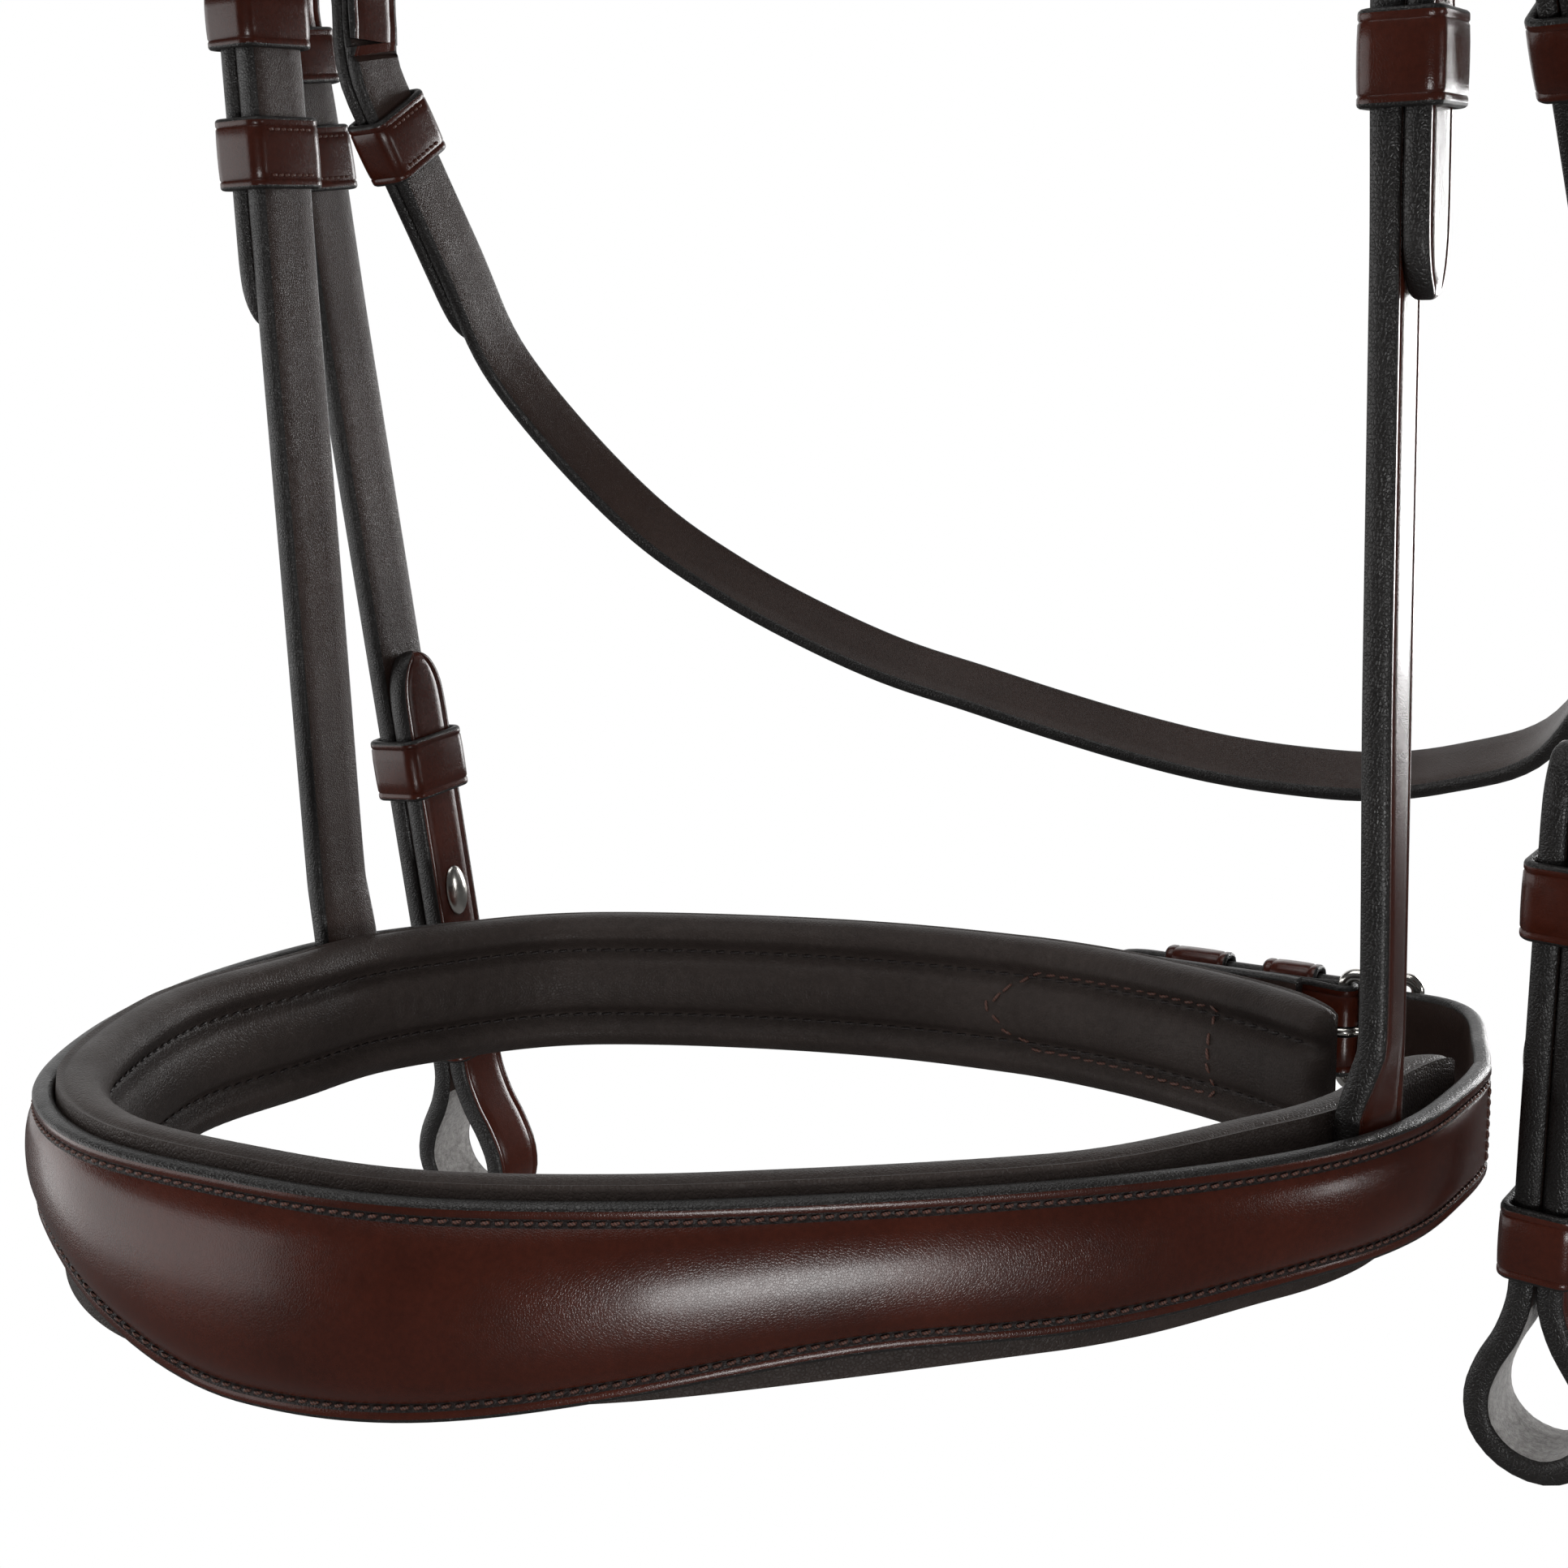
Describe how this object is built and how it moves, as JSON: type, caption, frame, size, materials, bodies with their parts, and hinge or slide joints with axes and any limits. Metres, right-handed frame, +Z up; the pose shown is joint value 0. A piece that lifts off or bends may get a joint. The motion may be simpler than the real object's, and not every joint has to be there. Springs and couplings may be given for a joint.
{
  "type": "horse bridle",
  "caption": "Leather snaffle bridle head with a padded cavesson noseband, browband, throatlash and cheekpieces with hook-stud bit loops.",
  "frame": {"origin": "underside of the crown pad at the poll, the point that rests on the horse's neck behind the ears", "axes": "+X to the horse's near (left) side, +Y to the back of the head, +Z up"},
  "size_m": [0.2862, 0.2484, 0.4362],
  "materials": {
    "brown_leather": "satin",
    "black_lining": "satin",
    "nickel_fittings": "polished"
  },
  "bodies": {
    "headpiece": {"headpiece_crown": "brown_leather", "crown_pad": "black_lining", "noseband_head_strap": "brown_leather"},
    "browband_body": {"browband": "brown_leather"},
    "noseband": {"noseband_leather": "brown_leather", "noseband_lining": "black_lining", "noseband_rear_strap": "brown_leather", "noseband_chape": "brown_leather", "noseband_buckle": "nickel_fittings", "noseband_keeper": "brown_leather", "near_hanger_strap": "brown_leather", "near_hanger_billet": "brown_leather", "near_hanger_buckle": "nickel_fittings", "near_hanger_keeper": "brown_leather", "off_hanger_strap": "brown_leather", "off_hanger_billet": "brown_leather", "off_hanger_buckle": "nickel_fittings", "off_hanger_keeper": "brown_leather"},
    "noseband_tongue_body": {"noseband_tongue": "nickel_fittings"},
    "noseband_runner_body": {"noseband_runner": "brown_leather"},
    "near_hanger_tongue_body": {"near_hanger_tongue": "nickel_fittings"},
    "off_hanger_tongue_body": {"off_hanger_tongue": "nickel_fittings"},
    "near_hanger_runner_body": {"near_hanger_runner": "brown_leather"},
    "off_hanger_runner_body": {"off_hanger_runner": "brown_leather"},
    "near_cheekpiece": {"near_cheek_strap": "brown_leather", "near_cheek_billet": "brown_leather", "near_cheek_buckle": "nickel_fittings", "near_cheek_keeper": "brown_leather", "near_hook_stud": "nickel_fittings", "near_stud_keeper": "brown_leather"},
    "near_cheek_tongue_body": {"near_cheek_tongue": "nickel_fittings"},
    "near_cheek_runner_body": {"near_cheek_runner": "brown_leather"},
    "near_stud_runner_body": {"near_stud_runner": "brown_leather"},
    "off_cheekpiece": {"off_cheek_strap": "brown_leather", "off_cheek_billet": "brown_leather", "off_cheek_buckle": "nickel_fittings", "off_cheek_keeper": "brown_leather", "off_hook_stud": "nickel_fittings", "off_stud_keeper": "brown_leather"},
    "off_cheek_tongue_body": {"off_cheek_tongue": "nickel_fittings"},
    "off_cheek_runner_body": {"off_cheek_runner": "brown_leather"},
    "off_stud_runner_body": {"off_stud_runner": "brown_leather"},
    "throat_strap": {"throatlash": "brown_leather", "near_throat_billet": "brown_leather", "near_throat_buckle": "nickel_fittings", "off_throat_billet": "brown_leather", "off_throat_buckle": "nickel_fittings"},
    "near_throat_tongue_body": {"near_throat_tongue": "nickel_fittings"},
    "off_throat_tongue_body": {"off_throat_tongue": "nickel_fittings"},
    "near_throat_runner_body": {"near_throat_runner": "brown_leather"},
    "off_throat_runner_body": {"off_throat_runner": "brown_leather"}
  },
  "joints": [
    {"name": "browband_slide", "type": "slide", "parent": "headpiece", "child": "browband_body", "axis": [0, 0, 1], "range_m": [0, 0.008]},
    {"name": "noseband_swing", "type": "hinge", "parent": "headpiece", "child": "noseband", "pos_m": [0, -0.04, -0.133], "axis": [1, 0, 0], "range_deg": [-20, 8]},
    {"name": "noseband_tongue_lift", "type": "hinge", "parent": "noseband", "child": "noseband_tongue_body", "pos_m": [0.0685, 0.0581, -0.3564], "axis": [0, 0, 1], "range_deg": [0, 30]},
    {"name": "noseband_runner_slide", "type": "slide", "parent": "noseband", "child": "noseband_runner_body", "axis": [1, 0, 0], "range_m": [-0.025, 0.006]},
    {"name": "near_hanger_tongue_lift", "type": "hinge", "parent": "noseband", "child": "near_hanger_tongue_body", "pos_m": [0.10887, -0.03846, -0.15545], "axis": [0.0004, 0.9977, 0.0682], "range_deg": [0, 30]},
    {"name": "off_hanger_tongue_lift", "type": "hinge", "parent": "noseband", "child": "off_hanger_tongue_body", "pos_m": [-0.10887, -0.03846, -0.15545], "axis": [-0.0004, 0.9977, 0.0682], "range_deg": [-30, 0]},
    {"name": "near_hanger_runner_slide", "type": "slide", "parent": "noseband", "child": "near_hanger_runner_body", "axis": [0.0056, -0.0682, 0.9977], "range_m": [-0.03, 0.011]},
    {"name": "off_hanger_runner_slide", "type": "slide", "parent": "noseband", "child": "off_hanger_runner_body", "axis": [-0.0056, -0.0682, 0.9977], "range_m": [-0.03, 0.011]},
    {"name": "near_cheek_swing", "type": "hinge", "parent": "headpiece", "child": "near_cheekpiece", "pos_m": [0.1367, -0.0093, -0.135], "axis": [0.0078, 0.9917, 0.1284], "range_deg": [-18, 0]},
    {"name": "near_cheek_tongue_lift", "type": "hinge", "parent": "near_cheekpiece", "child": "near_cheek_tongue_body", "pos_m": [0.13537, -0.00647, -0.15678], "axis": [0.0078, 0.9917, 0.1284], "range_deg": [0, 30]},
    {"name": "near_cheek_runner_slide", "type": "slide", "parent": "near_cheekpiece", "child": "near_cheek_runner_body", "axis": [0.0603, -0.1287, 0.9898], "range_m": [-0.03, 0.007]},
    {"name": "near_stud_runner_slide", "type": "slide", "parent": "near_cheekpiece", "child": "near_stud_runner_body", "axis": [0.0603, -0.1287, 0.9898], "range_m": [-0.012, 0.012]},
    {"name": "off_cheek_swing", "type": "hinge", "parent": "headpiece", "child": "off_cheekpiece", "pos_m": [-0.1367, -0.0093, -0.135], "axis": [-0.0078, 0.9917, 0.1284], "range_deg": [0, 18]},
    {"name": "off_cheek_tongue_lift", "type": "hinge", "parent": "off_cheekpiece", "child": "off_cheek_tongue_body", "pos_m": [-0.13537, -0.00647, -0.15678], "axis": [-0.0078, 0.9917, 0.1284], "range_deg": [-30, 0]},
    {"name": "off_cheek_runner_slide", "type": "slide", "parent": "off_cheekpiece", "child": "off_cheek_runner_body", "axis": [-0.0603, -0.1287, 0.9898], "range_m": [-0.03, 0.007]},
    {"name": "off_stud_runner_slide", "type": "slide", "parent": "off_cheekpiece", "child": "off_stud_runner_body", "axis": [-0.0603, -0.1287, 0.9898], "range_m": [-0.012, 0.012]},
    {"name": "throatlash_swing", "type": "hinge", "parent": "headpiece", "child": "throat_strap", "pos_m": [0, -0.0028, -0.133], "axis": [1, 0, 0], "range_deg": [-15, 4]},
    {"name": "near_throat_tongue_lift", "type": "hinge", "parent": "throat_strap", "child": "near_throat_tongue_body", "pos_m": [0.11751, -0.0028, -0.15549], "axis": [0, 1, 0], "range_deg": [0, 30]},
    {"name": "off_throat_tongue_lift", "type": "hinge", "parent": "throat_strap", "child": "off_throat_tongue_body", "pos_m": [-0.11616, -0.0028, -0.15548], "axis": [0, 1, 0], "range_deg": [-30, 0]},
    {"name": "near_throat_runner_slide", "type": "slide", "parent": "throat_strap", "child": "near_throat_runner_body", "axis": [-0.0191, -0.5299, 0.8478], "range_m": [-0.012, 0.004]},
    {"name": "off_throat_runner_slide", "type": "slide", "parent": "throat_strap", "child": "off_throat_runner_body", "axis": [-0.0318, -0.5299, 0.8475], "range_m": [-0.012, 0.004]}
  ]
}
